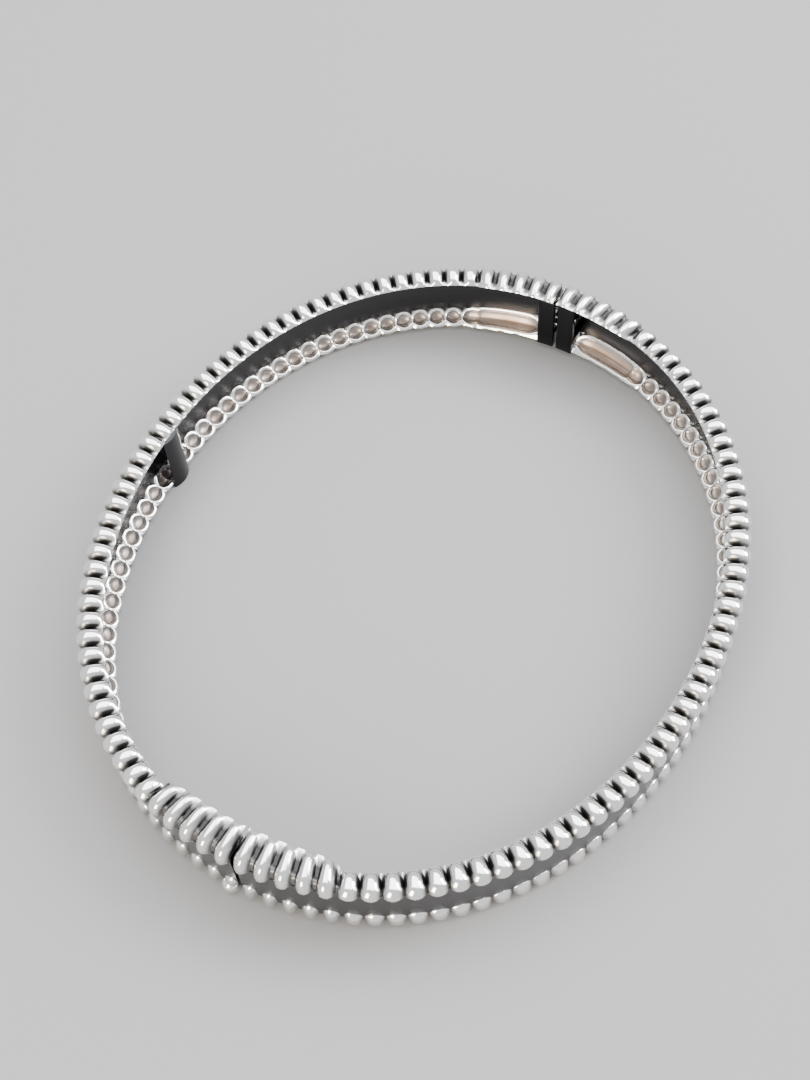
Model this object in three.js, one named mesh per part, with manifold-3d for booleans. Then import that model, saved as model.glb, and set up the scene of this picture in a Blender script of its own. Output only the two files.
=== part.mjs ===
// Oval hinged bangle of polished white metal, in millimetres, +Z up.
// It lies on its side. The oval's long axis is X, the hinge is at +X and the clasp at -X.
// Every half carries an upper and a lower ribbed rail with hollow backs and a smooth band between.
import * as THREE from "three";
import { mergeVertices } from "three/addons/utils/BufferGeometryUtils.js";
import Module from "manifold-3d";

const wasm = await Module();
wasm.setup();

// The oval, measured on its outer face
const MEAN_RADIUS = 31;
const OVALNESS = 0.0742;
const HALF_LENGTH = MEAN_RADIUS * (1 + OVALNESS);

// The ribs and the seams between the halves
const RIBS_PER_HALF = 54;
const SEAM_GAP = 0.36;

// The leaf-shaped swelling of the rails at both ends of the oval
const LEAF_REACH = 9.2;
const LEAF_BLUNTNESS = 0.35;

// The smooth band between the rails
const BAND_OUTER = 0.28;
const BAND_INNER = 0.68;
const BAND_BOTTOM = 1.1;
const BAND_TOP = 6.65;

// The closed backs at the two seams
const BACK_OUTER = 0.6;
const BACK_INNER = 2.75;
const BACK_BOTTOM = 0.6;
const BACK_TOP = 7.2;
const HINGE_BACK_REACH = 2.3;
const CLASP_BACK_REACH = 3.9;

// The hinge, whose barrel stands between the rails just inside the outer face
const PIN_RADIUS = 0.42;
const PIN_CLEARANCE = 0.22;
const KNUCKLE_RADIUS = 1.0;
const KNUCKLE_CLEARANCE = 0.3;
const BARREL_BOTTOM = 2.55;
const BARREL_TOP = 5.2;
const MIDDLE_KNUCKLE = 0.9;
const WEB_REACH = 1.7;
const WEB_PAST_AXIS = 0.25;
const PIN_END_GAP = 0.05;
const OPENING_DEGREES = 40;
const SWING_EASE_DEGREES = 2;
const HINGE_X = HALF_LENGTH - KNUCKLE_RADIUS;
const ROUND_SIDES = 20;

// The tongue and its box at the clasp
const TONGUE_THICKNESS = 0.7;
const TONGUE_HEIGHT = 2.4;
const TONGUE_LENGTH = 2.7;
const TONGUE_CLEARANCE = 0.3;
const TONGUE_INWARD = 1.6;
const TONGUE_MIDDLE = 3.9;
const TONGUE_ROOT = 0.8;

// The press stud on the lower rail beside the clasp seam
const STUD_RADIUS = 0.62;
const STUD_PROUD = 0.16;
const STUD_HEIGHT = 0.95;

// The plain half-round bar inside the back half
const BAR_DEGREES = 88;
const BAR_WIDTH = 2.5;
const BAR_OUTER = 0.6;
const BAR_SHOULDER = 2.3;
const BAR_CROWN = 2.65;
const BAR_TOP = 7.1;

// Rail sections. A row is one corner: how far it lies inward of the outer face and how high,
// on a rib's ridge and in the groove beside it, how far the leaf moves it inward and up, and
// whether it belongs to the hollow back.
const UPPER_RAIL = [
  { corner: "outer face", ridge: [0.0, 6.95], groove: [0.4, 6.93], leaf: [0.0, 0.0], back: false },
  { corner: "outer shoulder", ridge: [0.33, 7.5], groove: [0.7, 7.22], leaf: [0.05, 0.2], back: false },
  { corner: "crown", ridge: [1.1, 7.75], groove: [1.15, 7.3], leaf: [0.45, 0.55], back: false },
  { corner: "inner shoulder", ridge: [1.8, 7.52], groove: [1.65, 7.15], leaf: [0.85, 0.8], back: false },
  { corner: "rim top", ridge: [2.15, 7.2], groove: [2.15, 7.15], leaf: [1.0, 0.8], back: true },
  { corner: "rim bottom", ridge: [2.15, 6.88], groove: [2.15, 6.88], leaf: [1.0, 0.25], back: true },
  { corner: "hollow roof", ridge: [1.65, 7.0], groove: [1.8, 6.85], leaf: [0.7, 0.1], back: true },
  { corner: "hollow floor", ridge: [1.05, 6.85], groove: [1.3, 6.6], leaf: [0.2, 0.0], back: true },
  { corner: "lower lip", ridge: [0.85, 6.3], groove: [0.85, 6.3], leaf: [0.0, 0.0], back: true },
  { corner: "underside", ridge: [0.3, 6.25], groove: [0.5, 6.3], leaf: [0.0, 0.0], back: false },
];
const LOWER_RAIL = [
  { corner: "outer face", ridge: [-0.1, 0.8], groove: [0.3, 0.82], leaf: [0.0, 0.0], back: false },
  { corner: "upper side", ridge: [0.3, 1.5], groove: [0.5, 1.45], leaf: [0.0, 0.0], back: false },
  { corner: "upper lip", ridge: [0.85, 1.45], groove: [0.85, 1.45], leaf: [0.0, 1.0], back: true },
  { corner: "hollow floor", ridge: [1.05, 0.9], groove: [1.3, 1.15], leaf: [0.0, 0.35], back: true },
  { corner: "hollow sill", ridge: [1.65, 0.7], groove: [1.8, 0.9], leaf: [0.15, 0.0], back: true },
  { corner: "rim top", ridge: [2.22, 0.87], groove: [2.22, 0.87], leaf: [0.25, 0.0], back: true },
  { corner: "rim bottom", ridge: [2.22, 0.55], groove: [2.22, 0.6], leaf: [0.25, 0.0], back: true },
  { corner: "inner shoulder", ridge: [1.85, 0.22], groove: [1.7, 0.55], leaf: [0.2, 0.0], back: false },
  { corner: "foot", ridge: [1.1, 0.0], groove: [1.15, 0.4], leaf: [0.0, 0.0], back: false },
  { corner: "outer shoulder", ridge: [0.25, 0.25], groove: [0.6, 0.5], leaf: [0.0, 0.0], back: false },
];

// Half of the outer oval as a curve, from the hinge to the clasp
class HalfOval extends THREE.Curve {
  constructor(side) {
    super();
    this.side = side;
    this.arcLengthDivisions = 2000;
  }

  getPoint(t, target = new THREE.Vector3()) {
    const angle = Math.PI * t * this.side;
    const radius = MEAN_RADIUS * (1 + OVALNESS * Math.cos(2 * angle));
    return target.set(radius * Math.cos(angle), radius * Math.sin(angle), 0);
  }
}

// A place on a half: a point on the outer face and the direction inward from it
function placeOn(curve, fraction) {
  const point = curve.getPointAt(fraction);
  const tangent = curve.getTangentAt(fraction);
  const inward = new THREE.Vector3(-tangent.y, tangent.x, 0).multiplyScalar(curve.side);
  return { point, inward };
}

// How full the leaf is at a distance from the nearer seam: 1 at the seam, 0 past its end
function leafAt(distance) {
  const share = Math.min(distance / LEAF_REACH, 1);
  return (1 - share * share) ** LEAF_BLUNTNESS;
}

// One closed body swept along a half. profileAt gives the section's corners at each fraction
// of the way, as pairs of how far inward and how high, from the outer face over the top.
function sweep(curve, fractions, profileAt) {
  const profiles = fractions.map(profileAt);
  const corners = profiles[0].length;
  const positions = profiles.flatMap((profile, s) => {
    const { point, inward } = placeOn(curve, fractions[s]);
    return profile.flatMap(([depth, height]) => (
      point.clone().addScaledVector(inward, depth).setZ(height).toArray()
    ));
  });
  const index = [];
  for (let s = 0; s + 1 < profiles.length; s += 1) {
    for (let c = 0; c < corners; c += 1) {
      const here = s * corners + c;
      const beside = s * corners + ((c + 1) % corners);
      index.push(here, here + corners, beside, beside, here + corners, beside + corners);
    }
  }
  const last = (profiles.length - 1) * corners;
  const outline = profiles[0].map(([depth, height]) => new THREE.Vector2(-depth, height));
  for (const [a, b, c] of THREE.ShapeUtils.triangulateShape(outline, [])) {
    index.push(a, b, c, c + last, b + last, a + last);
  }
  if (curve.side < 0) {
    index.reverse();
  }
  const geometry = new THREE.BufferGeometry();
  geometry.setAttribute("position", new THREE.Float32BufferAttribute(positions, 3));
  geometry.setIndex(index);
  return solid(geometry);
}

// A closed geometry as a solid that can be joined and cut
function solid(geometry, matrix = new THREE.Matrix4()) {
  const bare = geometry.clone().applyMatrix4(matrix);
  bare.deleteAttribute("normal");
  bare.deleteAttribute("uv");
  const merged = mergeVertices(bare, 1e-5);
  const vertProperties = new Float32Array(merged.attributes.position.array);
  const triVerts = new Uint32Array(merged.index.array);
  return new wasm.Manifold(new wasm.Mesh({ numProp: 3, vertProperties, triVerts }));
}

function joined(pieces) {
  return pieces.reduce((whole, piece) => whole.add(piece));
}

function cut(whole, cutters) {
  return cutters.reduce((rest, cutter) => rest.subtract(cutter), whole);
}

// Evenly spaced fractions of the way along a half
function evenly(from, to, steps) {
  return Array.from({ length: steps + 1 }, (_, step) => THREE.MathUtils.lerp(from, to, step / steps));
}

// A ribbed rail along one half, with a ridge in the middle of every rib
function ribbedRail(curve, table) {
  const { lerp } = THREE.MathUtils;
  const length = curve.getLength();
  const fractions = evenly(0, 1, RIBS_PER_HALF * 2);
  return sweep(curve, fractions, (fraction, step) => {
    const leaf = leafAt(length * Math.min(fraction, 1 - fraction));
    return table.map(({ ridge, groove, leaf: swelling, back }) => {
      const start = step % 2 === 1 ? ridge : groove;
      // The hollow back runs smooth through the leaf, where the ribs share one trough
      const smooth = back ? leaf : 0;
      return [0, 1].map((axis) => lerp(start[axis], ridge[axis], smooth) + leaf * swelling[axis]);
    });
  });
}

// A plain strip of rectangular section along part of one half
function strip(curve, fractions, [outer, inner], [bottom, top]) {
  return sweep(curve, fractions, () => [[outer, bottom], [outer, top], [inner, top], [inner, bottom]]);
}

function upright(radius, bottom, top, x = HINGE_X) {
  const geometry = new THREE.CylinderGeometry(radius, radius, top - bottom, ROUND_SIDES);
  const matrix = new THREE.Matrix4().makeRotationX(Math.PI / 2);
  matrix.setPosition(x, 0, (bottom + top) / 2);
  return solid(geometry, matrix);
}

function block([x0, x1], [y0, y1], [z0, z1]) {
  const geometry = new THREE.BoxGeometry(x1 - x0, y1 - y0, z1 - z0);
  const middle = [(x0 + x1) / 2, (y0 + y1) / 2, (z0 + z1) / 2];
  return solid(geometry, new THREE.Matrix4().setPosition(...middle));
}

// The space on the other side of the seam, and the notch that lets this half swing
function seamCut(side) {
  const beyond = 6;
  const wide = HALF_LENGTH + beyond;
  const half = SEAM_GAP / 2;
  const spread = Math.tan(THREE.MathUtils.degToRad(OPENING_DEGREES / 2 + SWING_EASE_DEGREES));
  const outline = new THREE.Shape([
    new THREE.Vector2(-wide, half),
    new THREE.Vector2(HINGE_X, half),
    new THREE.Vector2(wide, half + spread * (wide - HINGE_X)),
    new THREE.Vector2(wide, -wide),
    new THREE.Vector2(-wide, -wide),
  ]);
  const depth = BACK_TOP + 2 * beyond;
  const geometry = new THREE.ExtrudeGeometry(outline, { depth, bevelEnabled: false });
  const matrix = new THREE.Matrix4().makeRotationX(side > 0 ? 0 : Math.PI);
  matrix.setPosition(0, 0, side > 0 ? -beyond : depth - beyond);
  return solid(geometry, matrix);
}

// The knuckles of one half with the web that carries each
function knuckle(side, bottom, top) {
  const reach = side > 0 ? [0, WEB_REACH] : [-WEB_REACH, 0];
  const root = block([HINGE_X - KNUCKLE_RADIUS, HINGE_X + WEB_PAST_AXIS], reach, [bottom, top]);
  return upright(KNUCKLE_RADIUS, bottom, top).add(root);
}

function rails(curve) {
  const length = curve.getLength();
  const hingeBack = evenly(0, HINGE_BACK_REACH / length, 2);
  const claspBack = evenly(1 - CLASP_BACK_REACH / length, 1, 2);
  return joined([
    ribbedRail(curve, UPPER_RAIL),
    ribbedRail(curve, LOWER_RAIL),
    strip(curve, evenly(0, 1, RIBS_PER_HALF / 2), [BAND_OUTER, BAND_INNER], [BAND_BOTTOM, BAND_TOP]),
    strip(curve, hingeBack, [BACK_OUTER, BACK_INNER], [BACK_BOTTOM, BACK_TOP]),
    strip(curve, claspBack, [BACK_OUTER, BACK_INNER], [BACK_BOTTOM, BACK_TOP]),
  ]);
}

// The half-round bar that stands inside the back half, soldered to both rails
function insideBar() {
  const half = BAR_WIDTH / 2;
  const outline = new THREE.Shape();
  outline.moveTo(-half, BAR_OUTER);
  outline.lineTo(half, BAR_OUTER);
  outline.lineTo(half, BAR_SHOULDER);
  outline.quadraticCurveTo(0, 2 * BAR_CROWN - BAR_SHOULDER, -half, BAR_SHOULDER);
  outline.closePath();
  const geometry = new THREE.ExtrudeGeometry(outline, {
    depth: BAR_TOP,
    bevelEnabled: false,
    curveSegments: 6,
  });
  const curve = new HalfOval(1);
  const { point, inward } = placeOn(curve, BAR_DEGREES / 180);
  const along = new THREE.Vector3().crossVectors(inward, new THREE.Vector3(0, 0, 1));
  const matrix = new THREE.Matrix4().makeBasis(along, inward, new THREE.Vector3(0, 0, 1));
  matrix.setPosition(point);
  return solid(geometry, matrix);
}

const lowKnuckle = [BARREL_BOTTOM, (BARREL_BOTTOM + BARREL_TOP - MIDDLE_KNUCKLE) / 2 - KNUCKLE_CLEARANCE];
const midKnuckle = [lowKnuckle[1] + KNUCKLE_CLEARANCE, lowKnuckle[1] + KNUCKLE_CLEARANCE + MIDDLE_KNUCKLE];
const topKnuckle = [midKnuckle[1] + KNUCKLE_CLEARANCE, BARREL_TOP];

// A round space through the barrel's whole height
function barrelSpace(radius) {
  return upright(radius, BARREL_BOTTOM - KNUCKLE_CLEARANCE, BARREL_TOP + KNUCKLE_CLEARANCE);
}

function tongueBlock(clearance, length) {
  const middle = -HALF_LENGTH + TONGUE_INWARD;
  const halfThickness = TONGUE_THICKNESS / 2 + clearance;
  const halfHeight = TONGUE_HEIGHT / 2 + clearance;
  return block(
    [middle - halfThickness, middle + halfThickness],
    [-TONGUE_ROOT, length],
    [TONGUE_MIDDLE - halfHeight, TONGUE_MIDDLE + halfHeight],
  );
}

function pressStud() {
  const geometry = new THREE.SphereGeometry(STUD_RADIUS, 12, 8);
  const x = -HALF_LENGTH + STUD_RADIUS - STUD_PROUD;
  const y = SEAM_GAP / 2 + STUD_RADIUS;
  return solid(geometry, new THREE.Matrix4().setPosition(x, y, STUD_HEIGHT));
}

function backHalf() {
  const curve = new HalfOval(1);
  const body = cut(joined([rails(curve), insideBar()]), [
    seamCut(1),
    barrelSpace(KNUCKLE_RADIUS + KNUCKLE_CLEARANCE),
    tongueBlock(TONGUE_CLEARANCE, SEAM_GAP / 2 + TONGUE_LENGTH + TONGUE_CLEARANCE),
  ]);
  const knuckles = [knuckle(1, ...lowKnuckle), knuckle(1, ...topKnuckle)];
  return cut(joined([body, ...knuckles, pressStud()]), [barrelSpace(PIN_RADIUS + PIN_CLEARANCE)]);
}

function frontHalf() {
  const curve = new HalfOval(-1);
  const body = cut(rails(curve), [seamCut(-1), barrelSpace(KNUCKLE_RADIUS + KNUCKLE_CLEARANCE)]);
  const tongue = tongueBlock(0, SEAM_GAP / 2 + TONGUE_LENGTH);
  return cut(joined([body, knuckle(-1, ...midKnuckle), tongue]), [barrelSpace(PIN_RADIUS + PIN_CLEARANCE)]);
}

function hingePin() {
  return upright(PIN_RADIUS, BARREL_BOTTOM + PIN_END_GAP, BARREL_TOP - PIN_END_GAP);
}

// A solid back as a mesh with its own finish
function finished(name, body, color, roughness) {
  const { numProp, vertProperties, triVerts } = body.getMesh();
  const geometry = new THREE.BufferGeometry();
  geometry.setAttribute("position", new THREE.BufferAttribute(vertProperties, numProp));
  geometry.setIndex(new THREE.BufferAttribute(triVerts, 1));
  geometry.computeVertexNormals();
  const material = new THREE.MeshStandardMaterial({ color, roughness, metalness: 1 });
  const mesh = new THREE.Mesh(geometry, material);
  mesh.name = name;
  return mesh;
}

const bangle = new THREE.Group();
bangle.add(finished("back_half", backHalf(), 0xd9d6d2, 0.12));
bangle.add(finished("front_half", frontHalf(), 0xdcd9d5, 0.12));
bangle.add(finished("hinge_pin", hingePin(), 0xb9b7b4, 0.3));

export default bangle;
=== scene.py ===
"""Oval hinged bangle of polished white metal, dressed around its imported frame.

Every piece is modelled straight, as a strip whose three directions are the way along a half
from the hinge, the depth inward from the outer face and the height. It is then bent round
the oval, so that it lands where the frame has it. Lengths are in metres.
"""
from __future__ import annotations

import bisect
import logging
import math
from collections.abc import Callable, Iterable
from dataclasses import dataclass, field
from enum import Enum
from functools import cached_property

import bmesh
import bpy
from mathutils import Matrix, Vector


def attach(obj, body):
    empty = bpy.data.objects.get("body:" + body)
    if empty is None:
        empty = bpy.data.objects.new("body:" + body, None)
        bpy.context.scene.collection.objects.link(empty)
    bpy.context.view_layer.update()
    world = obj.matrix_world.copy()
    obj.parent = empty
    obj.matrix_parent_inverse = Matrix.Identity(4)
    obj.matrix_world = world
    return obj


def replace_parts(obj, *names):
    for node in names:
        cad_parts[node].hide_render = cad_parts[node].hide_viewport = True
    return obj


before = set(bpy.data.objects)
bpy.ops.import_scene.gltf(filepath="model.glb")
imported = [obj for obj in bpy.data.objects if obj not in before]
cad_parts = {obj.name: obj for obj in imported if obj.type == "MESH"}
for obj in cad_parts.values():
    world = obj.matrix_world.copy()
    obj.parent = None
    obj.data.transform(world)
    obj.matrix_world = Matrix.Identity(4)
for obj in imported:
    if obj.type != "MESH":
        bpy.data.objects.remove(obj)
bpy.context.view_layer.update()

MM = 0.001
LOG = logging.getLogger("bangle")
HOLLOW_LAYER = "hollow"
GROOVE_SHADE_LAYER = "groove"
SPOON_LAYER = "spoon"


class Half(Enum):
    """The two hinged halves, by the side of the long axis that each lies on."""

    BACK = 1
    FRONT = -1

    @property
    def body(self) -> str:
        """The name of the frame's body and the start of the names of its pieces."""
        return self.name.lower()

    @property
    def node(self) -> str:
        """The frame's node that the half's pieces stand for."""
        return f"{self.body}_half"


class End(Enum):
    """The two ends of a half."""

    HINGE = "hinge"
    CLASP = "clasp"


class Rail(Enum):
    """The two ribbed rails of a half."""

    UPPER = "upper"
    LOWER = "lower"


class Zone(Enum):
    """The stretches of a rail's section, in order round it."""

    DOME = "dome"
    INNER_RIM = "inner_rim"
    HOLLOW = "hollow"
    OUTER_RIM = "outer_rim"


def lerp(start: float, end: float, share: float) -> float:
    """The value a share of the way from start to end."""
    return start + (end - start) * share


def smoothstep(low: float, high: float, value: float) -> float:
    """0 below low, 1 above high and a smooth rise between."""
    share = min(max((value - low) / (high - low), 0.0), 1.0)
    return share * share * (3 - 2 * share)


@dataclass(frozen=True)
class Oval:
    """The bangle's outer face seen from above.

    Attributes:
        mean_radius: Radius halfway between the long and the short axis.
        ovalness: Share of that radius that the long axis gains and the short one loses.
        seam_gap: Clear space between the halves.
        samples: Steps in which a half's length is measured.
    """

    mean_radius: float = 31.0 * MM
    ovalness: float = 0.0742
    seam_gap: float = 0.36 * MM
    samples: int = 4000

    @property
    def half_length(self) -> float:
        """Distance from the centre to the outer face on the long axis."""
        return self.mean_radius * (1 + self.ovalness)

    def radius(self, angle: float) -> float:
        """Distance from the centre to the outer face at an angle from the hinge."""
        return self.mean_radius * (1 + self.ovalness * math.cos(2 * angle))

    @cached_property
    def lengths(self) -> list[float]:
        """Length along the outer face from the hinge to each sample of the back half."""
        step = math.pi / self.samples
        total, lengths = 0.0, [0.0]
        before = Vector((self.radius(0.0), 0.0))
        for i in range(1, self.samples + 1):
            here = Vector((math.cos(i * step), math.sin(i * step))) * self.radius(i * step)
            total += (here - before).length
            lengths.append(total)
            before = here
        return lengths

    @property
    def run(self) -> float:
        """Length of a half along the outer face."""
        return self.lengths[-1]

    def bend(self, half: Half, along: float, depth: float, height: float) -> Vector:
        """Turns a place in a straight strip into its place on the bangle.

        Args:
            half: The half that the strip belongs to.
            along: Way along the half from the hinge seam's middle.
            depth: Distance inward from the outer face.
            height: Height above the surface that the bangle lies on.

        Returns:
            The place in the frame.
        """
        i = min(max(bisect.bisect_right(self.lengths, along) - 1, 0), self.samples - 1)
        span = self.lengths[i + 1] - self.lengths[i]
        angle = (i + (along - self.lengths[i]) / span) * math.pi / self.samples
        radius = self.radius(angle)
        slope = -2 * self.mean_radius * self.ovalness * math.sin(2 * angle)
        outward = Vector((math.cos(angle), math.sin(angle), 0.0))
        onward = Vector((-math.sin(angle), math.cos(angle), 0.0))
        normal = (outward * radius - onward * slope).normalized()
        place = outward * radius - normal * depth
        return Vector((place.x, place.y * half.value, height))


@dataclass(frozen=True)
class Leaf:
    """The leaf-shaped swelling of both rails over each end of the oval.

    Attributes:
        reach: Length from the seam to the leaf's tip.
        bluntness: How bluntly it ends; smaller is blunter.
        inward: How far it moves a rail's inner rim inward, for the upper and the lower rail.
        rise: How far it lifts the upper rail's inner rim and the lower rail's outer rim.
        outer_rise: Share of that by which it lifts the outer side of the upper rail's domes.
    """

    reach: float = 9.2 * MM
    bluntness: float = 0.35
    inward: tuple[float, float] = (1.05 * MM, 0.25 * MM)
    rise: float = 0.95 * MM
    outer_rise: float = 0.6

    def fullness(self, from_seam: float) -> float:
        """How full the leaf is at a distance from the nearer seam, from 1 down to 0."""
        share = min(max(from_seam / self.reach, 0.0), 1.0)
        return (1 - share * share) ** self.bluntness


class Strip:
    """A mesh that is modelled straight and then bent round the oval."""

    def __init__(self, name: str, oval: Oval, half: Half) -> None:
        """Starts an empty mesh.

        Args:
            name: The piece's name without its half's.
            oval: The oval that it is bent round.
            half: The half that it rides on.
        """
        self.name = f"{half.body}_{name}"
        self.oval = oval
        self.half = half
        self.mesh = bmesh.new()
        # Share of the hollows' painted shade and reflection that each place takes
        self.hollow = self.mesh.verts.layers.float.new(HOLLOW_LAYER)
        # Share of the grooves' painted shade that each place takes
        self.groove = self.mesh.verts.layers.float.new(GROOVE_SHADE_LAYER)
        # Share of the leaves' warm painted reflection that each place takes
        self.spoon = self.mesh.verts.layers.float.new(SPOON_LAYER)

    def bend(self) -> None:
        """Bends the straight mesh round the oval."""
        for vert in self.mesh.verts:
            vert.co = self.oval.bend(self.half, *vert.co)

    def cut_at_seams(self, hinge: Hinge | None = None) -> None:
        """Cuts the bent mesh square at both seams and notches it where the hinge swings.

        Args:
            hinge: The hinge whose notch is cut too.
        """
        side = self.half.value
        planes = [((0.0, self.oval.seam_gap / 2 * side, 0.0), (0.0, -side, 0.0))]
        if hinge:
            tilt = math.radians(hinge.opening / 2 + hinge.ease)
            edge = (hinge.axis_x, self.oval.seam_gap / 2 * side, 0.0)
            planes.append((edge, (math.sin(tilt), -math.cos(tilt) * side, 0.0)))
        for place, normal in planes:
            everything = self.mesh.verts[:] + self.mesh.edges[:] + self.mesh.faces[:]
            bmesh.ops.bisect_plane(
                self.mesh, geom=everything, plane_co=place, plane_no=normal, clear_outer=True
            )
            rims = [edge for edge in self.mesh.edges if edge.is_boundary]
            bmesh.ops.holes_fill(self.mesh, edges=rims, sides=0)

    def finish(self, finish: Finish, crease: float = 40.0) -> bpy.types.Object:
        """Turns the mesh into a piece that rides on its half.

        Args:
            finish: The finish that dresses it.
            crease: Angle in degrees past which an edge is drawn sharp.

        Returns:
            The piece.
        """
        return make_piece(self.name, self.mesh, finish, self.half, crease)


def make_piece(
    name: str, mesh: bmesh.types.BMesh, finish: Finish, half: Half, crease: float = 40.0
) -> bpy.types.Object:
    """Makes a dressed piece of a finished mesh.

    Args:
        name: The piece's name.
        mesh: Its mesh, in the frame, which is used up.
        finish: The finish that dresses it.
        half: The half whose body it rides on.
        crease: Angle in degrees past which an edge is drawn sharp.

    Returns:
        The piece, at the origin and riding on its body.
    """
    bmesh.ops.remove_doubles(mesh, verts=mesh.verts, dist=0.001 * MM)
    bmesh.ops.recalc_face_normals(mesh, faces=mesh.faces)
    data = bpy.data.meshes.new(name)
    mesh.to_mesh(data)
    mesh.free()
    data.shade_smooth()
    data.set_sharp_from_angle(angle=math.radians(crease))
    data.materials.append(finish.material())
    piece = bpy.data.objects.new(name, data)
    bpy.context.scene.collection.objects.link(piece)
    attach(piece, half.body)
    LOG.info("%s: %d faces, rides on %s", name, len(data.polygons), half.body)
    return piece


@dataclass(frozen=True)
class Finish:
    """A finish of the white metal.

    Attributes:
        name: The material's name.
        slot: The record's material slot; not used.
        clean: Colour where it is polished and open; painted shade on the band, backs and bar.
        hollow: Painted shade and warm painted reflection in the scoops of the hollow backs.
        spoon: Warm painted reflection in the smooth hollow backs of the leaves.
        groove: Colour down in the grooves between ribs: painted shade.
        roughness: Roughness where it is polished, and in the hollows.
        groove_shade_strength: How much of the grooves' painted shade shows at their bottom.
        streaks: Height of the fine lengthwise polishing lines.
        specks: Height of the fine dents.
    """

    name: str
    slot: str
    clean: tuple[float, float, float] = (0.93, 0.92, 0.9)
    # The hollow and spoon colours are painted reflection with painted shade, the groove colour
    # painted shade
    hollow: tuple[float, float, float] = (0.2, 0.155, 0.13)
    spoon: tuple[float, float, float] = (0.5, 0.34, 0.24)
    groove: tuple[float, float, float] = (0.012, 0.012, 0.013)
    roughness: tuple[float, float] = (0.1, 0.42)
    groove_shade_strength: float = 0.97
    streaks: float = 0.0
    specks: float = 0.002 * MM

    def material(self) -> bpy.types.Material:
        """The finish's material, made the first time it is asked for."""
        known = bpy.data.materials.get(self.name)
        if known:
            return known
        material = bpy.data.materials.new(self.name)
        material.use_nodes = True
        nodes, links = material.node_tree.nodes, material.node_tree.links
        shader = nodes["Principled BSDF"]
        shader.inputs["Metallic"].default_value = 1.0
        shader.inputs["IOR"].default_value = 1.5
        tone = nodes.new("ShaderNodeGroup")
        tone.node_tree = tone_group()
        tone.inputs["Clean"].default_value = (*self.clean, 1.0)
        tone.inputs["Hollow"].default_value = (*self.hollow, 1.0)
        tone.inputs["Spoon"].default_value = (*self.spoon, 1.0)
        tone.inputs["Groove"].default_value = (*self.groove, 1.0)
        tone.inputs["Groove Share"].default_value = self.groove_shade_strength
        tone.inputs["Smooth"].default_value = self.roughness[0]
        tone.inputs["Dull"].default_value = self.roughness[1]
        surface = nodes.new("ShaderNodeGroup")
        surface.node_tree = surface_group()
        surface.inputs["Streaks"].default_value = self.streaks / MM
        surface.inputs["Specks"].default_value = self.specks / MM
        bump = nodes.new("ShaderNodeBump")
        bump.inputs["Strength"].default_value = 0.6
        bump.inputs["Distance"].default_value = MM
        links.new(tone.outputs["Color"], shader.inputs["Base Color"])
        links.new(tone.outputs["Roughness"], shader.inputs["Roughness"])
        links.new(surface.outputs["Height"], bump.inputs["Height"])
        links.new(bump.outputs["Normal"], shader.inputs["Normal"])
        return material


class GroupBuilder:
    """Builds a shader node group with named inputs and outputs."""

    def __init__(self, name: str) -> None:
        """Starts an empty group.

        Args:
            name: The group's name.
        """
        self.tree = bpy.data.node_groups.new(name, "ShaderNodeTree")
        self.entry = self.tree.nodes.new("NodeGroupInput")
        self.exit = self.tree.nodes.new("NodeGroupOutput")

    def socket(self, name: str, way: str, kind: str = "NodeSocketFloat") -> None:
        """Adds a socket.

        Args:
            name: The socket's name.
            way: INPUT or OUTPUT.
            kind: The socket's type.
        """
        self.tree.interface.new_socket(name=name, in_out=way, socket_type=kind)

    def node(self, kind: str, **settings: object) -> bpy.types.Node:
        """Adds a node with some of its settings."""
        node = self.tree.nodes.new(kind)
        for key, value in settings.items():
            setattr(node, key, value)
        return node

    def link(self, start: bpy.types.NodeSocket, end: bpy.types.NodeSocket) -> None:
        """Links two sockets."""
        self.tree.links.new(start, end)

    def math(self, operation: str, first: object, second: object) -> bpy.types.NodeSocket:
        """Adds a sum of two values, each a socket or a number, and gives its result."""
        node = self.node("ShaderNodeMath", operation=operation)
        for slot, value in enumerate((first, second)):
            if isinstance(value, bpy.types.NodeSocket):
                self.link(value, node.inputs[slot])
            else:
                node.inputs[slot].default_value = value
        return node.outputs[0]

    def mix(
        self, share: bpy.types.NodeSocket, low: bpy.types.NodeSocket, high: bpy.types.NodeSocket
    ) -> bpy.types.NodeSocket:
        """Mixes two colours by a share and gives the result."""
        node = self.node("ShaderNodeMix", data_type="RGBA")
        self.link(share, node.inputs[0])
        self.link(low, node.inputs[6])
        self.link(high, node.inputs[7])
        return node.outputs[2]


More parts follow.
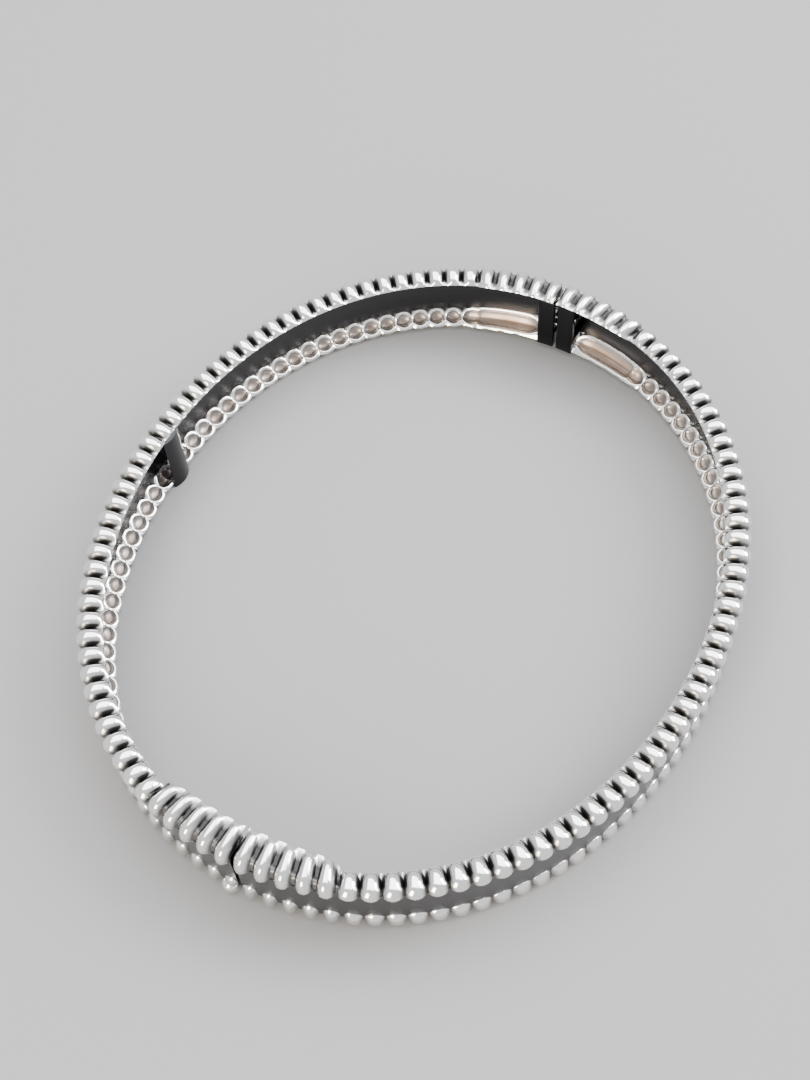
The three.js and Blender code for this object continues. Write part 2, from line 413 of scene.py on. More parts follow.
def tone_group() -> bpy.types.NodeTree:
    """Paints shade into grooves and a warm reflection into hollows; made when first asked for."""
    name = "tone_in_hollows"
    if name in bpy.data.node_groups:
        return bpy.data.node_groups[name]
    group = GroupBuilder(name)
    for colour in ("Clean", "Hollow", "Spoon", "Groove"):
        group.socket(colour, "INPUT", "NodeSocketColor")
    for number in ("Groove Share", "Smooth", "Dull"):
        group.socket(number, "INPUT")
    group.socket("Color", "OUTPUT", "NodeSocketColor")
    group.socket("Roughness", "OUTPUT")
    entry = group.entry.outputs
    place = group.node("ShaderNodeTexCoord")
    cloud = group.node("ShaderNodeTexNoise")
    cloud.inputs["Scale"].default_value = 0.6 / MM
    cloud.inputs["Detail"].default_value = 3.0
    group.link(place.outputs["Object"], cloud.inputs["Vector"])
    patch = group.math("MULTIPLY_ADD", cloud.outputs[0], 0.5)
    patch.node.inputs[2].default_value = 0.72
    hollow = group.node("ShaderNodeAttribute", attribute_name=HOLLOW_LAYER)
    groove = group.node("ShaderNodeAttribute", attribute_name=GROOVE_SHADE_LAYER)
    spoon = group.node("ShaderNodeAttribute", attribute_name=SPOON_LAYER)
    # How much painted shade and reflection the hollows take
    in_hollow = group.math("MULTIPLY", hollow.outputs["Fac"], patch)
    # Painted shade in the grooves and creases
    groove_shade = group.math("MULTIPLY", groove.outputs["Fac"], entry["Groove Share"])
    # Painted shade and reflection of the hollow backs, turning to the leaves' warm painted
    # reflection
    back = group.mix(spoon.outputs["Fac"], entry["Hollow"], entry["Spoon"])
    hollow_reflection = group.mix(in_hollow, entry["Clean"], back)
    group.link(group.mix(groove_shade, hollow_reflection, entry["Groove"]), group.exit.inputs["Color"])
    covered = group.math("MAXIMUM", in_hollow, groove_shade)
    spread = group.math("SUBTRACT", entry["Dull"], entry["Smooth"])
    dulling = group.math("MULTIPLY", covered, spread)
    smear = group.math("MULTIPLY_ADD", cloud.outputs[0], 0.06)
    smear.node.inputs[2].default_value = -0.03
    dull = group.math("ADD", entry["Smooth"], dulling)
    group.link(group.math("ADD", dull, smear), group.exit.inputs["Roughness"])
    return group.tree


def surface_group() -> bpy.types.NodeTree:
    """The group that gives fine streaks and dents, made the first time it is asked for."""
    name = "fine_surface"
    if name in bpy.data.node_groups:
        return bpy.data.node_groups[name]
    group = GroupBuilder(name)
    for number in ("Streaks", "Specks"):
        group.socket(number, "INPUT")
    group.socket("Height", "OUTPUT")
    entry = group.entry.outputs
    place = group.node("ShaderNodeTexCoord")
    heights = []
    for scale, squeeze in ((2.2 / MM, (1.0, 1.0, 1.0)), (0.3 / MM, (1.0, 1.0, 14.0))):
        turn = group.node("ShaderNodeMapping")
        turn.inputs["Scale"].default_value = squeeze
        noise = group.node("ShaderNodeTexNoise")
        noise.inputs["Scale"].default_value = scale
        noise.inputs["Detail"].default_value = 2.0
        group.link(place.outputs["Object"], turn.inputs["Vector"])
        group.link(turn.outputs["Vector"], noise.inputs["Vector"])
        heights.append(noise.outputs[0])
    specks = group.math("MULTIPLY", heights[0], entry["Specks"])
    streaks = group.math("MULTIPLY", heights[1], entry["Streaks"])
    group.link(group.math("ADD", specks, streaks), group.exit.inputs["Height"])
    return group.tree


# Polished white metal whose hollow, spoon and groove colours are painted reflection and painted
# shade
RIB_METAL = Finish("polished_ribs", "polished_metal")
# The band's near-black colour is painted shade on white metal
BAND_PAINTED_SHADE = Finish(
    "band_with_painted_shade",
    "polished_metal",
    clean=(0.06, 0.06, 0.064),
    roughness=(0.24, 0.3),
    streaks=0.004 * MM,
)
# The closed backs' near-black colour is painted shade on white metal
BACK_PAINTED_SHADE = Finish(
    "back_with_painted_shade", "polished_metal", clean=(0.022, 0.022, 0.024), roughness=(0.12, 0.3)
)
# The bar's near-black colour is painted shade on white metal
BAR_PAINTED_SHADE = Finish(
    "bar_with_painted_shade", "polished_metal", clean=(0.035, 0.035, 0.038), roughness=(0.08, 0.3)
)
PIN_METAL = Finish(
    "drawn_pin", "pin_metal", clean=(0.72, 0.71, 0.7), roughness=(0.2, 0.3), streaks=0.003 * MM
)


# How many corners each stretch of a rail's section has
ZONE_CORNERS = {Zone.DOME: 24, Zone.INNER_RIM: 3, Zone.HOLLOW: 11, Zone.OUTER_RIM: 3}

# How deep the grooves bite round a section: the turn from the outermost line, and the share
UPPER_BITES = (
    (50.0, 0.5), (10.0, 0.85), (-60.0, 0.8), (-85.0, 1.15), (-130.0, 1.35), (-154.0, 1.1),
    (-165.0, 0.15), (-171.0, 0.1)
)
LOWER_BITES = ((60.0, 0.6), (10.0, 1.0), (-140.0, 1.0), (-171.0, 0.4))


@dataclass
class RibbedRail:
    """One half's rail: a row of round ribs with a hollow back.

    Its domes face outward, up on the upper rail and down on the lower one, and its hollow back
    faces the other rail and a little inward.

    Attributes:
        rail: Whether it is the upper or the lower rail.
        level: Height of the line where it stands out furthest.
        outer: Depth of that line.
        width: Its width.
        half_height: Height of its domes from that line, away from the hollow back.
        shoulder: Height of its domes from that line towards the hollow back.
        turns: Where the domes start and end round the section, in degrees from that line
            towards the hollow back.
        ribs: How many ribs it has.
        rib_radius: Radius of a rib's round along the rail.
        groove_floor: Share of that radius left where a groove is deepest.
        bites: Turns round the section, and how much of the groove's depth each gets.
        rims: Widths of the hollow back's outer and inner rim.
        rim_round: How far a rim's middle stands up.
        scoop_width: Width of a scoop of the hollow back along the rail.
        scoop_depth: Depth of a scoop.
        tip_gap: Space between a closed back and the tip of the hollow back in the leaf.
        tip_length: Length over which the hollow back narrows to that tip.
        least_opening: Share of its width that the hollow back keeps where it is narrowest.
        spoon_crease: How sharply the leaf's hollow is creased along its bottom, from 0 to 1.
        fold_shade: How dark the painted shade along that crease is.
        leaf_narrowing: How much narrower the ribs are where the leaf is fullest.
        shade: Shares of the groove's depth where its painted shade starts and where it is full.
        outer_groove_shade: How strong the grooves' painted shade is on the outer side, where 1 is
            darkest.
        steps: Places along a rib, as shares of the rib, where it has a section.
    """

    rail: Rail
    level: float
    outer: float
    width: float
    bites: tuple[tuple[float, float], ...]
    half_height: float = 0.8 * MM
    shoulder: float = 0.8 * MM
    turns: tuple[float, float] = (50.0, -171.0)
    ribs: int = 54
    rib_radius: float = 0.98 * MM
    groove_floor: float = 0.36
    rims: tuple[float, float] = (0.42 * MM, 0.36 * MM)
    rim_round: float = 0.07 * MM
    scoop_width: float = 1.6 * MM
    scoop_depth: float = 0.42 * MM
    tip_gap: float = 0.3 * MM
    tip_length: float = 1.7 * MM
    least_opening: float = 0.3
    spoon_crease: float = 0.45
    fold_shade: float = 0.8
    leaf_narrowing: float = 1.3
    shade: tuple[float, float] = (0.16, 0.45)
    outer_groove_shade: float = 0.45
    steps: tuple[float, ...] = (
        -0.5, -0.47, -0.441, -0.42, -0.36, -0.24, -0.08, 0.08, 0.24, 0.36, 0.42, 0.441, 0.47
    )
    oval: Oval = field(default_factory=Oval)
    leaf: Leaf = field(default_factory=Leaf)

    @cached_property
    def section(self) -> list[tuple[Zone, float]]:
        """The corners of a section: the stretch each is in and how far through it."""
        return [(zone, i / count) for zone, count in ZONE_CORNERS.items() for i in range(count)]

    def groove_depth(self, share: float, narrowing: float) -> float:
        """Depth of the groove beside a rib.

        Args:
            share: Place across the rib, from -0.5 in one groove to 0.5 in the next.
            narrowing: How much narrower than round the rib is.

        Returns:
            How far the surface lies below the rib's ridge.
        """
        pitch = self.oval.run / self.ribs
        across = share * pitch * narrowing
        left = max(self.rib_radius**2 - across**2, (self.groove_floor * self.rib_radius) ** 2)
        return self.rib_radius - math.sqrt(left)

    def bite(self, turn: float) -> float:
        """How much of the groove's depth a place round the section gets."""
        for (low, first), (high, second) in zip(self.bites, self.bites[1:]):
            if turn >= high:
                return lerp(first, second, smoothstep(0.0, 1.0, (turn - low) / (high - low)))
        return self.bites[-1][1]

    def groove_shade_at(self, turn: float) -> float:
        """Painted shade of the grooves at a turn round the section: least where they face out."""
        return lerp(1.0, self.outer_groove_shade, smoothstep(-80.0, -40.0, turn))

    def dome(self, turn: float, groove: float, full: float) -> tuple[Vector, float]:
        """A place on the domes.

        Args:
            turn: Its turn round the section, in degrees.
            groove: Depth of the groove here.
            full: How full the leaf is here.

        Returns:
            Its depth and its height towards the hollow back, and how far it lies below the
            ridge.
        """
        below = min(groove * self.bite(turn), 0.9 * self.half_height)
        angle = math.radians(turn)
        half_width = self.width / 2
        high = self.shoulder if turn > 0 else self.half_height
        place = Vector((
            self.outer + half_width - (half_width - below) * math.cos(angle),
            (high - below) * math.sin(angle),
        ))
        lean = min(max((place.x - self.outer) / self.width, 0.0), 1.0) ** 1.2
        if self.rail is Rail.UPPER:
            lift = lerp(self.leaf.outer_rise, 1.0, lean) * smoothstep(5.0, -50.0, turn)
            place += full * Vector((lean * self.leaf.inward[0], -lift * self.leaf.rise))
        else:
            lift = smoothstep(-30.0, self.turns[0], turn)
            place += full * Vector((lean * self.leaf.inward[1], lift * self.leaf.rise))
        return place, below

    def corner(
        self, zone: Zone, through: float, share: float, from_seam: float, spoon_end: float
    ) -> tuple[float, float, float, float]:
        """One corner of a section.

        Args:
            zone: The stretch of the section that it is in.
            through: How far through that stretch it is.
            share: Place across the rib.
            from_seam: Distance from the nearer seam.
            spoon_end: Distance from that seam where the hollow ends.

        Returns:
            Its depth, its height towards the hollow back, and how much painted shade and
            reflection of a hollow and painted shade of a groove it takes.
        """
        full = self.leaf.fullness(from_seam)
        groove = self.groove_depth(share, lerp(1.0, self.leaf_narrowing, full))
        if zone is Zone.DOME:
            turn = lerp(*self.turns, through)
            place, below = self.dome(turn, groove, full)
            deepest = self.rib_radius * (1 - self.groove_floor)
            # Painted shade down in the grooves, weaker on the outer side, where the light falls
            dark = smoothstep(*self.shade, below / deepest)
            return place.x, place.y, 0.0, dark * self.groove_shade_at(turn)
        # In the leaf the hollow back is one smooth spoon, so its rims run straight
        smooth = smoothstep(0.0, 0.75, full)
        back_groove = groove * (1 - smooth)
        outer, _ = self.dome(self.turns[0], back_groove, full)
        inner, _ = self.dome(self.turns[1], back_groove, full)
        span = outer - inner
        up = Vector((span.y, -span.x)).normalized()
        start, end = self.rims[1] / span.length, 1 - self.rims[0] / span.length
        middle, half = (start + end) / 2, (end - start) / 2
        off = min(abs(share) * self.oval.run / self.ribs / (self.scoop_width / 2), 1.0)
        closing = min(max((from_seam - spoon_end) / self.tip_length, 0.0), 1.0)
        closing = math.sqrt(1 - (1 - closing) ** 2)
        opened = lerp(math.sqrt(1 - off * off), 1.0, smooth) * closing
        extent = half * max(opened, self.least_opening)
        count = ZONE_CORNERS[zone]
        if zone is Zone.HOLLOW:
            wide = -math.cos(math.pi * through * count / (count - 1))
            bowl = math.sqrt(max(1 - wide * wide, 0.0))
            crease = 1 - abs(wide)
            bowl = lerp(bowl, lerp(bowl, crease, self.spoon_crease), smooth)
            place = inner + span * (middle + extent * wide) - up * self.scoop_depth * opened * bowl
            # Painted shade along the crease at the bottom of the leaf's hollow
            fold = self.fold_shade * smooth * smoothstep(0.45, 0.0, abs(wide + 0.1))
            # The hollow's share of painted shade and reflection follows its bowl
            return place.x, place.y, 0.3 + 0.7 * bowl * opened, fold
        if zone is Zone.INNER_RIM:
            across = lerp(0.0, middle - extent, through)
        else:
            across = lerp(middle + extent, 1.0, (through * count + 1) / (count + 1))
        over_rim = (through * count + (zone is Zone.OUTER_RIM)) / (count + 1)
        stand = self.rim_round * math.sin(math.pi * over_rim)
        place = inner + span * across + up * stand
        return place.x, place.y, 0.0, 0.0

    def build(self, half: Half, hinge: Hinge, backs: dict[End, ClosedBack]) -> bpy.types.Object:
        """Models the rail of one half.

        Args:
            half: The half.
            hinge: The hinge that it must clear.
            backs: The closed backs where its hollow ends.

        Returns:
            The rail.
        """
        strip = Strip(f"{self.rail.value}_rail", self.oval, half)
        corners = self.section
        rows = self.ribs * len(self.steps)
        bmesh.ops.create_grid(strip.mesh, x_segments=rows, y_segments=len(corners), size=1.0)
        pitch = self.oval.run / self.ribs
        way = -1 if self.rail is Rail.UPPER else 1
        for vert in strip.mesh.verts:
            row = round((vert.co.x + 1) / 2 * rows)
            rib, step = divmod(row, len(self.steps))
            share = self.steps[step]
            along = (rib + 0.5 + share) * pitch
            from_hinge = along < self.oval.run / 2
            from_seam = along if from_hinge else self.oval.run - along
            spoon_end = backs[End.HINGE if from_hinge else End.CLASP].reach + self.tip_gap
            zone, through = corners[round((vert.co.y + 1) / 2 * len(corners)) % len(corners)]
            depth, height, hollow, groove = self.corner(zone, through, share, from_seam, spoon_end)
            # How much of the leaves' warm painted reflection the place takes
            vert[strip.spoon] = smoothstep(0.0, 0.6, self.leaf.fullness(from_seam))
            vert.co = (along, depth, self.level + way * height)
            # How much of the hollows' painted shade and reflection the place takes
            vert[strip.hollow] = hollow
            # How much of the grooves' painted shade the place takes
            vert[strip.groove] = groove
        bmesh.ops.remove_doubles(strip.mesh, verts=strip.mesh.verts, dist=0.001 * MM)
        rims = [edge for edge in strip.mesh.edges if edge.is_boundary]
        bmesh.ops.holes_fill(strip.mesh, edges=rims, sides=0)
        strip.bend()
        strip.cut_at_seams(hinge)
        return strip.finish(RIB_METAL, crease=60.0)


def straight_block(
    mesh: bmesh.types.BMesh,
    along: tuple[float, float],
    depth: tuple[float, float],
    height: tuple[float, float],
) -> list[bmesh.types.BMVert]:
    """Adds a block to a straight strip.

    Args:
        mesh: The strip's mesh.
        along: Where it starts and ends along the half.
        depth: Where it starts and ends inward.
        height: Where it starts and ends upward.

    Returns:
        The block's corners.
    """
    spans = (along, depth, height)
    middle = Matrix.Translation([(low + high) / 2 for low, high in spans])
    size = Matrix.Diagonal([high - low for low, high in spans] + [1.0])
    return bmesh.ops.create_cube(mesh, size=1.0, matrix=middle @ size)["verts"]


def slice_at(mesh: bmesh.types.BMesh, axis: int, places: Iterable[float]) -> None:
    """Adds a loop of edges round a mesh at each place along one of its directions."""
    for place in places:
        spot, normal = Vector((0, 0, 0)), Vector((0, 0, 0))
        spot[axis], normal[axis] = place, 1.0
        everything = mesh.verts[:] + mesh.edges[:] + mesh.faces[:]
        bmesh.ops.bisect_plane(mesh, geom=everything, plane_co=spot, plane_no=normal)


def push_faces(
    mesh: bmesh.types.BMesh, chosen: Callable[[bmesh.types.BMFace], bool], way: Vector
) -> None:
    """Extrudes the chosen faces of a mesh and leaves it closed.

    Args:
        mesh: The mesh.
        chosen: Says whether a face is one of them.
        way: How far and in which direction they go.
    """
    faces = [face for face in mesh.faces if chosen(face)]
    made = bmesh.ops.extrude_face_region(mesh, geom=faces)
    moved = [item for item in made["geom"] if isinstance(item, bmesh.types.BMVert)]
    bmesh.ops.translate(mesh, verts=moved, vec=way)
    bmesh.ops.delete(mesh, geom=faces, context="FACES_ONLY")


@dataclass
class Band:
    """The smooth band between the rails.

    Attributes:
        depth: Where it starts and ends inward.
        height: Where it starts and ends upward, inside the rails.
        hinge_end: How far from the hinge seam it stops.
        pieces: Facets along a half.
    """

    depth: tuple[float, float] = (0.48 * MM, 0.66 * MM)
    height: tuple[float, float] = (1.0 * MM, 6.6 * MM)
    hinge_end: float = 1.35 * MM
    pieces: int = 160
    oval: Oval = field(default_factory=Oval)

    def build(self, half: Half) -> bpy.types.Object:
        """Models the band of one half."""
        strip = Strip("band", self.oval, half)
        ends = (self.hinge_end, self.oval.run + self.oval.seam_gap)
        straight_block(strip.mesh, ends, self.depth, self.height)
        step = (ends[1] - ends[0]) / self.pieces
        slice_at(strip.mesh, 0, (ends[0] + i * step for i in range(1, self.pieces)))
        strip.bend()
        strip.cut_at_seams()
        # Near-black: painted shade
        return strip.finish(BAND_PAINTED_SHADE)


@dataclass
class ClosedBack:
    """The plain block that closes the rails' backs beside a seam.

    Attributes:
        end: Which end of the half it is at.
        reach: How far it reaches from the seam.
        depth: Where it starts and ends inward.
        height: Where it starts and ends upward.
        edge: Radius of its rounded edges.
    """

    end: End
    reach: float
    depth: tuple[float, float] = (0.6 * MM, 2.75 * MM)
    height: tuple[float, float] = (0.6 * MM, 7.2 * MM)
    edge: float = 0.12 * MM
    oval: Oval = field(default_factory=Oval)

    def build(self, half: Half, hinge: Hinge, clasp: Clasp) -> bpy.types.Object:
        """Models the closed back of one half.

        Args:
            half: The half.
            hinge: The hinge whose barrel it leaves room for.
            clasp: The clasp whose tongue the back half's block takes.

        Returns:
            The closed back.
        """
        strip = Strip(f"{self.end.value}_back", self.oval, half)
        start = self.oval.seam_gap / 2
        if self.end is End.HINGE:
            self.model_hinge_end(strip, start, hinge)
        else:
            self.model_clasp_end(strip, start, clasp)
        slice_at(strip.mesh, 0, self.slices())
        strip.bend()
        # Near-black: painted shade
        return strip.finish(BACK_PAINTED_SHADE)

    def slices(self) -> list[float]:
        """Places along the half where the block is cut so that it bends smoothly."""
        shares = [i / 4 for i in range(1, 4)]
        if self.end is End.HINGE:
            return [self.reach * share for share in shares]
        return [self.oval.run - self.reach * share for share in shares]

    def model_hinge_end(self, strip: Strip, start: float, hinge: Hinge) -> None:
        """Models a block that leaves a bay for the barrel."""
        bay = hinge.bay
        inner = hinge.inward + hinge.bay_radius
        straight_block(strip.mesh, (start, self.reach), (inner, self.depth[1]), self.height)
        self.round_edges(strip)
        slice_at(strip.mesh, 2, bay)

        def above_or_below(face: bmesh.types.BMFace) -> bool:
            middle = face.calc_center_median()
            outside = middle.z < bay[0] or middle.z > bay[1]
            return outside and abs(middle.y - inner) < 0.01 * MM

        push_faces(strip.mesh, above_or_below, Vector((0, self.depth[0] - inner, 0)))

    def model_clasp_end(self, strip: Strip, start: float, clasp: Clasp) -> None:
        """Models a block with the box for the tongue in the back half, or the tongue itself."""
        run = self.oval.run
        straight_block(strip.mesh, (run - self.reach, run - start), self.depth, self.height)
        self.round_edges(strip)
        room = clasp.clearance if strip.half is Half.BACK else 0.0
        deep, high = clasp.span(room)
        slice_at(strip.mesh, 1, deep)
        slice_at(strip.mesh, 2, high)

        def in_tongue(face: bmesh.types.BMFace) -> bool:
            middle = face.calc_center_median()
            inside = deep[0] < middle.y < deep[1] and high[0] < middle.z < high[1]
            return inside and abs(middle.x - run + start) < 0.01 * MM

        if strip.half is Half.BACK:
            push_faces(strip.mesh, in_tongue, Vector((-clasp.length - room, 0, 0)))
        else:
            push_faces(strip.mesh, in_tongue, Vector((clasp.length + 2 * start, 0, 0)))

    def round_edges(self, strip: Strip) -> None:
        """Rounds the block's long inner edges."""
        edges = [
            edge
            for edge in strip.mesh.edges
            if all(abs(vert.co.y - self.depth[1]) < 0.01 * MM for vert in edge.verts)
        ]
        shape = {"affect": "EDGES", "segments": 3, "profile": 0.5, "material": -1}
        bmesh.ops.bevel(strip.mesh, geom=edges, offset=self.edge, **shape)


@dataclass
class Hinge:
    """The barrel hinge between the rails, just inside the outer face.

    Attributes:
        opening: How far the front half swings open, in degrees.
        ease: How much wider the notch beside it is on each side, in degrees.
        knuckle_radius: Radius of the knuckles, which is also how far in the axis lies.
        hole_radius: Radius of the hole for the pin.
        pin_radius: Radius of the pin.
        clearance: Space round and between the knuckles.
        barrel: Lower and upper end of the barrel.
        middle: Height of the front half's knuckle.
        web: How far a knuckle's web reaches into its half.
        web_start: Where the web starts, as a share of the hole's radius.
        web_sides: How far the web lies inward and outward of the axis, as shares of the
            knuckle's radius.
        chamfer: Width of the knuckles' chamfers.
        dome: Height of the pin's rounded ends.
    """

    opening: float = 40.0
    ease: float = 2.0
    knuckle_radius: float = 1.0 * MM
    hole_radius: float = 0.64 * MM
    pin_radius: float = 0.42 * MM
    clearance: float = 0.3 * MM
    barrel: tuple[float, float] = (2.55 * MM, 5.2 * MM)
    middle: float = 0.9 * MM
    web: float = 1.7 * MM
    web_start: float = 1.02
    web_sides: tuple[float, float] = (0.9, 0.2)
    chamfer: float = 0.06 * MM
    dome: float = 0.12 * MM
    oval: Oval = field(default_factory=Oval)

    @property
    def inward(self) -> float:
        """How far inward of the outer face the axis lies."""
        return self.knuckle_radius

    @property
    def axis_x(self) -> float:
        """Where the axis stands on the long axis."""
        return self.oval.half_length - self.inward

    @property
    def bay_radius(self) -> float:
        """Radius of the space round the barrel."""
        return self.knuckle_radius + self.clearance

    @property
    def bay(self) -> tuple[float, float]:
        """Lower and upper end of the space round the barrel."""
        return self.barrel[0] - self.clearance, self.barrel[1] + self.clearance

    def knuckles(self, half: Half) -> list[tuple[float, float]]:
        """Lower and upper end of each knuckle of a half."""
        low, high = self.barrel
        outer = (high - low - self.middle) / 2 - self.clearance
        if half is Half.FRONT:
            return [(low + outer + self.clearance, high - outer - self.clearance)]
        return [(low, low + outer), (high - outer, high)]

    def turned(self, mesh: bmesh.types.BMesh, outline: list[tuple[float, float]]) -> None:
        """Turns an outline of radii and heights round the hinge's axis."""
        verts = [mesh.verts.new((self.axis_x + radius, 0, height)) for radius, height in outline]
        edges = [mesh.edges.new((verts[i], verts[i - 1])) for i in range(len(verts))]
        bmesh.ops.spin(
            mesh,
            geom=verts + edges,
            cent=(self.axis_x, 0, 0),
            axis=(0, 0, 1),
            angle=2 * math.pi,
            steps=40,
            use_merge=True,
        )

    def build(self, half: Half) -> bpy.types.Object:
        """Models the knuckles of one half with the web that carries each."""
        mesh = bmesh.new()
        soft, outer, hole = self.chamfer, self.knuckle_radius, self.hole_radius
        inward, outward = self.web_sides
        across = (self.axis_x - inward * outer, self.axis_x + outward * outer)
        for low, high in self.knuckles(half):
            bottom = [(hole, low), (outer - soft, low), (outer, low + soft)]
            top = [(outer, high - soft), (outer - soft, high), (hole, high)]
            self.turned(mesh, bottom + top)
            near, far = sorted((hole * half.value * self.web_start, self.web * half.value))
            straight_block(mesh, across, (near, far), (low + soft, high - soft))
        return make_piece(f"{half.body}_knuckles", mesh, RIB_METAL, half)

    def build_pin(self) -> bpy.types.Object:
        """Models the pin with its domed ends."""
        mesh = bmesh.new()
        low, high = self.barrel[0] + 0.05 * MM, self.barrel[1] - 0.05 * MM
        near = 0.4 * self.pin_radius
        bottom = [(0.0, low), (near, low), (self.pin_radius, low + self.dome)]
        top = [(self.pin_radius, high - self.dome), (near, high), (0.0, high)]
        self.turned(mesh, bottom + top)
        return make_piece("turned_pin", mesh, PIN_METAL, Half.BACK)


@dataclass
class Clasp:
    """The tongue of the front half, and the back half's press stud beside the clasp's seam.

    Attributes:
        thickness: The tongue's thickness.
        height: The tongue's height.
        length: How far it reaches into the back half.
        clearance: Space round it in its box.
        inward: Depth of its middle.
        level: Height of its middle.
        stud_radius: Radius of the press stud.
        stud_proud: How far the stud stands out of the outer face.
        stud_level: Height of the stud's middle.
    """

    thickness: float = 0.7 * MM
    height: float = 2.4 * MM
    length: float = 2.7 * MM
    clearance: float = 0.3 * MM
    inward: float = 1.6 * MM
    level: float = 3.9 * MM
    stud_radius: float = 0.8 * MM
    stud_proud: float = 0.4 * MM
    stud_level: float = 0.84 * MM
    oval: Oval = field(default_factory=Oval)

    def span(self, room: float) -> tuple[tuple[float, float], tuple[float, float]]:
        """Where the tongue, or with room its box, starts and ends inward and upward."""
        deep = self.thickness / 2 + room
        high = self.height / 2 + room
        return (self.inward - deep, self.inward + deep), (self.level - high, self.level + high)

    def build_stud(self) -> bpy.types.Object:
        """Models the press stud."""
        mesh = bmesh.new()
        start = self.oval.seam_gap / 2
        place = Vector((
            -self.oval.half_length + self.stud_radius - self.stud_proud,
            start + self.stud_radius,
            self.stud_level,
        ))
        bmesh.ops.create_icosphere(
            mesh, subdivisions=4, radius=self.stud_radius, matrix=Matrix.Translation(place)
        )
        return make_piece("back_press_stud", mesh, RIB_METAL, Half.BACK)


@dataclass
class InsideBar:
    """The plain half-round bar that stands inside the back half.

    Attributes:
        share: Where it stands along the half.
        width: Its width.
        depth: Where it starts inward, where its round begins and where it ends.
        top: Its height.
        edge: Radius of its rounded edges; not used.
    """

    share: float = 88.7 / 180
    width: float = 2.5 * MM
    depth: tuple[float, float, float] = (0.6 * MM, 2.3 * MM, 2.65 * MM)
    top: float = 7.1 * MM
    edge: float = 0.1 * MM
    oval: Oval = field(default_factory=Oval)

    def build(self) -> bpy.types.Object:
        """Models the bar."""
        strip = Strip("inside_bar", self.oval, Half.BACK)
        middle = self.oval.run * self.share
        sides = (middle - self.width / 2, middle + self.width / 2)
        straight_block(strip.mesh, sides, self.depth[:2], (0.0, self.top))
        slices = 12
        slice_at(strip.mesh, 0, (lerp(*sides, i / slices) for i in range(1, slices)))
        crown = self.depth[2] - self.depth[1]
        for vert in strip.mesh.verts:
            if vert.co.y > self.depth[1] - 0.01 * MM:
                across = (vert.co.x - middle) / (self.width / 2)
                vert.co.y += crown * (1 - across * across)
        strip.bend()
        # Near-black: painted shade
        return strip.finish(BAR_PAINTED_SHADE, crease=35.0)


@dataclass(frozen=True)
class SoftBox:
    """A soft studio light.

    Attributes:
        name: Its name.
        place: Where it hangs.
        size: Its width and height.
        power: Its power in watts.
        tint: Its colour.
    """

    name: str
    place: tuple[float, float, float]
    size: tuple[float, float]
    power: float
    tint: tuple[float, float, float] = (1.0, 1.0, 1.0)

    def hang(self) -> None:
        """Hangs the light and turns it to the bangle."""
        data = bpy.data.lights.new(self.name, "AREA")
        data.shape = "RECTANGLE"
        data.size, data.size_y = self.size
        data.energy = self.power
        data.color = self.tint
        light = bpy.data.objects.new(self.name, data)
        light.location = self.place
        light.rotation_mode = "QUATERNION"
        light.rotation_quaternion = (-Vector(self.place)).to_track_quat("-Z", "Y")
        bpy.context.scene.collection.objects.link(light)


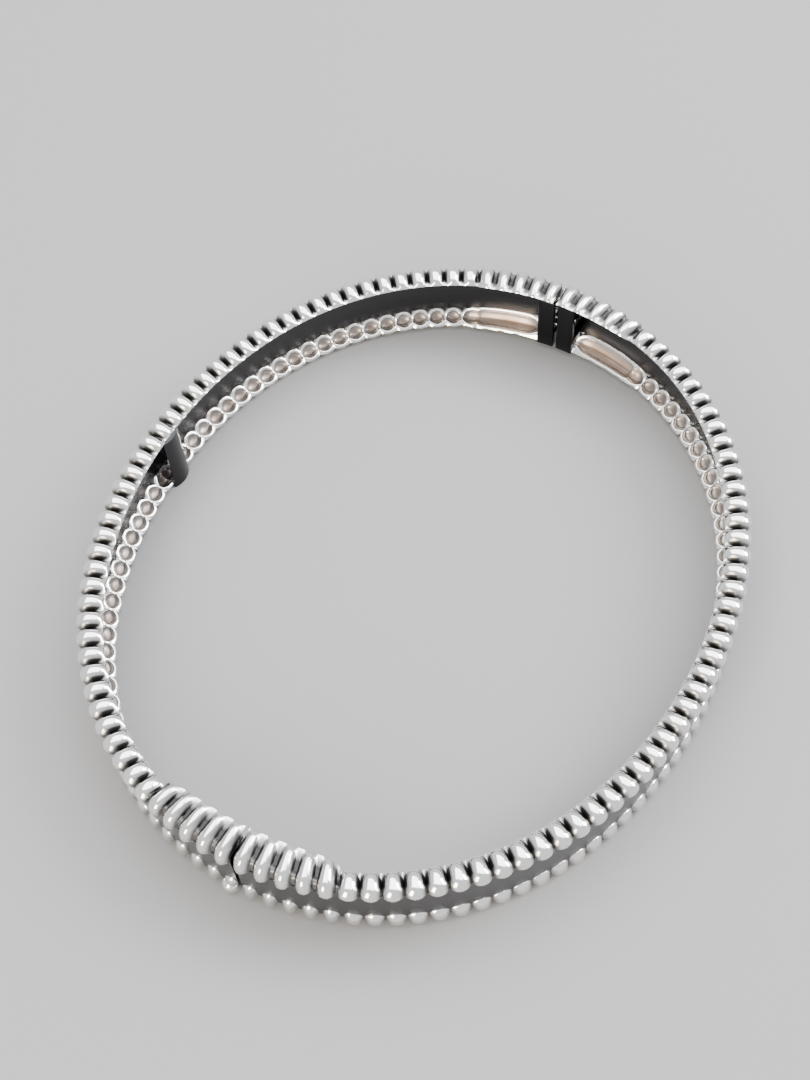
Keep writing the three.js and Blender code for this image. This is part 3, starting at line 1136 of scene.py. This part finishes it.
@dataclass(frozen=True)
class Studio:
    """The plain floor, the soft light and the camera at the photograph's angle.

    Attributes:
        elevation: How far above the horizon the camera stands, in degrees.
        heading: Direction that it looks in, from the long axis, in degrees.
        roll: How far it is turned about its line of sight, in degrees.
        pan: How far it looks past the bangle's middle sideways, in radians.
        tilt: The same upward, in radians.
        distance: How far it stands from the middle of the upper rail.
        level: Height of that middle.
        lens: Focal length in millimetres on a sensor of 36.
        air: Colour of the light from all round.
        air_strength: How strong that light is.
        floor_tone: The floor's colour.
    """

    elevation: float = 58.49
    heading: float = 29.9
    roll: float = 3.69
    pan: float = -0.0078
    tilt: float = -0.0036
    distance: float = 135.6 * MM
    level: float = 6.95 * MM
    lens: float = 50.5
    air: tuple[float, float, float] = (0.86, 0.87, 0.9)
    air_strength: float = 1.25
    floor_tone: tuple[float, float, float] = (0.26, 0.26, 0.267)
    lights: tuple[SoftBox, ...] = (
        SoftBox("top_light", (0.16, 0.06, 0.5), (0.7, 0.6), 7.5),
        SoftBox("key_light", (0.26, -0.3, 0.3), (0.24, 0.24), 3.4),
        SoftBox("side_light", (-0.36, 0.02, 0.2), (0.16, 0.3), 2.0, (1.0, 0.88, 0.7)),
    )

    def build(self) -> None:
        """Sets the whole studio up."""
        self.stand_camera()
        self.lay_floor()
        for light in self.lights:
            light.hang()
        world = bpy.data.worlds.new("studio_air")
        world.use_nodes = True
        background = world.node_tree.nodes["Background"]
        background.inputs["Color"].default_value = (*self.air, 1.0)
        background.inputs["Strength"].default_value = self.air_strength
        bpy.context.scene.world = world

    def stand_camera(self) -> None:
        """Stands the camera where the photograph was taken from."""
        up_angle, heading = math.radians(self.elevation), math.radians(self.heading)
        flat = Vector((math.cos(heading), math.sin(heading), 0.0))
        look = flat * math.cos(up_angle) - Vector((0, 0, math.sin(up_angle)))
        right = Vector((flat.y, -flat.x, 0.0))
        level = Matrix((right, right.cross(look), -look))
        roll = Matrix.Rotation(math.radians(self.roll), 3, "Z")
        aim = Matrix.Rotation(self.tilt, 3, "X") @ Matrix.Rotation(self.pan, 3, "Y")
        turned = (aim @ roll @ level).transposed()
        place = Vector((0, 0, self.level)) - look * self.distance
        data = bpy.data.cameras.new("camera")
        data.lens = self.lens
        data.sensor_width = 36.0
        data.clip_start, data.clip_end = 0.01, 10.0
        camera = bpy.data.objects.new("camera", data)
        camera.matrix_world = Matrix.Translation(place) @ turned.to_4x4()
        bpy.context.scene.collection.objects.link(camera)
        bpy.context.scene.camera = camera

    def lay_floor(self) -> None:
        """Lays the plain pale floor."""
        mesh = bmesh.new()
        bmesh.ops.create_grid(mesh, x_segments=1, y_segments=1, size=1.5)
        data = bpy.data.meshes.new("floor")
        mesh.to_mesh(data)
        mesh.free()
        material = bpy.data.materials.new("pale_floor")
        material.use_nodes = True
        shader = material.node_tree.nodes["Principled BSDF"]
        shader.inputs["Base Color"].default_value = (*self.floor_tone, 1.0)
        shader.inputs["Roughness"].default_value = 0.8
        data.materials.append(material)
        floor = bpy.data.objects.new("floor", data)
        bpy.context.scene.collection.objects.link(floor)


@dataclass
class Bangle:
    """The whole bangle: two halves, their hinge and their clasp."""

    oval: Oval = field(default_factory=Oval)
    hinge: Hinge = field(default_factory=Hinge)
    clasp: Clasp = field(default_factory=Clasp)
    rails: tuple[RibbedRail, ...] = (
        RibbedRail(
            Rail.UPPER,
            level=6.95 * MM,
            outer=-0.14 * MM,
            width=2.44 * MM,
            bites=UPPER_BITES,
            scoop_depth=0.2 * MM,
            # Stronger painted shade in the upper rail's outer grooves
            outer_groove_shade=0.85,
        ),
        RibbedRail(
            Rail.LOWER,
            level=0.8 * MM,
            outer=-0.1 * MM,
            width=2.34 * MM,
            bites=LOWER_BITES,
            shoulder=1.2 * MM,
            # Its rim stays below the hinge's barrel, which the other half carries
            leaf=Leaf(reach=10.1 * MM, rise=0.4 * MM),
            turns=(60.0, -171.0),
        ),
    )
    backs: tuple[ClosedBack, ...] = (
        ClosedBack(End.HINGE, reach=2.1 * MM),
        ClosedBack(End.CLASP, reach=3.9 * MM),
    )

    def build(self) -> None:
        """Models every piece and lets it stand for its node of the frame."""
        by_end = {back.end: back for back in self.backs}
        for half in Half:
            pieces = [rail.build(half, self.hinge, by_end) for rail in self.rails]
            pieces.append(Band(oval=self.oval).build(half))
            pieces += [back.build(half, self.hinge, self.clasp) for back in self.backs]
            pieces.append(self.hinge.build(half))
            if half is Half.BACK:
                pieces.append(InsideBar(oval=self.oval).build())
                pieces.append(self.clasp.build_stud())
            for piece in pieces:
                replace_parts(piece, half.node)
        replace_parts(self.hinge.build_pin(), "hinge_pin")


def main() -> None:
    """Builds the bangle in its studio."""
    logging.basicConfig(level=logging.INFO, format="%(name)s: %(message)s")
    Studio().build()
    Bangle().build()


if __name__ == "__main__":
    main()
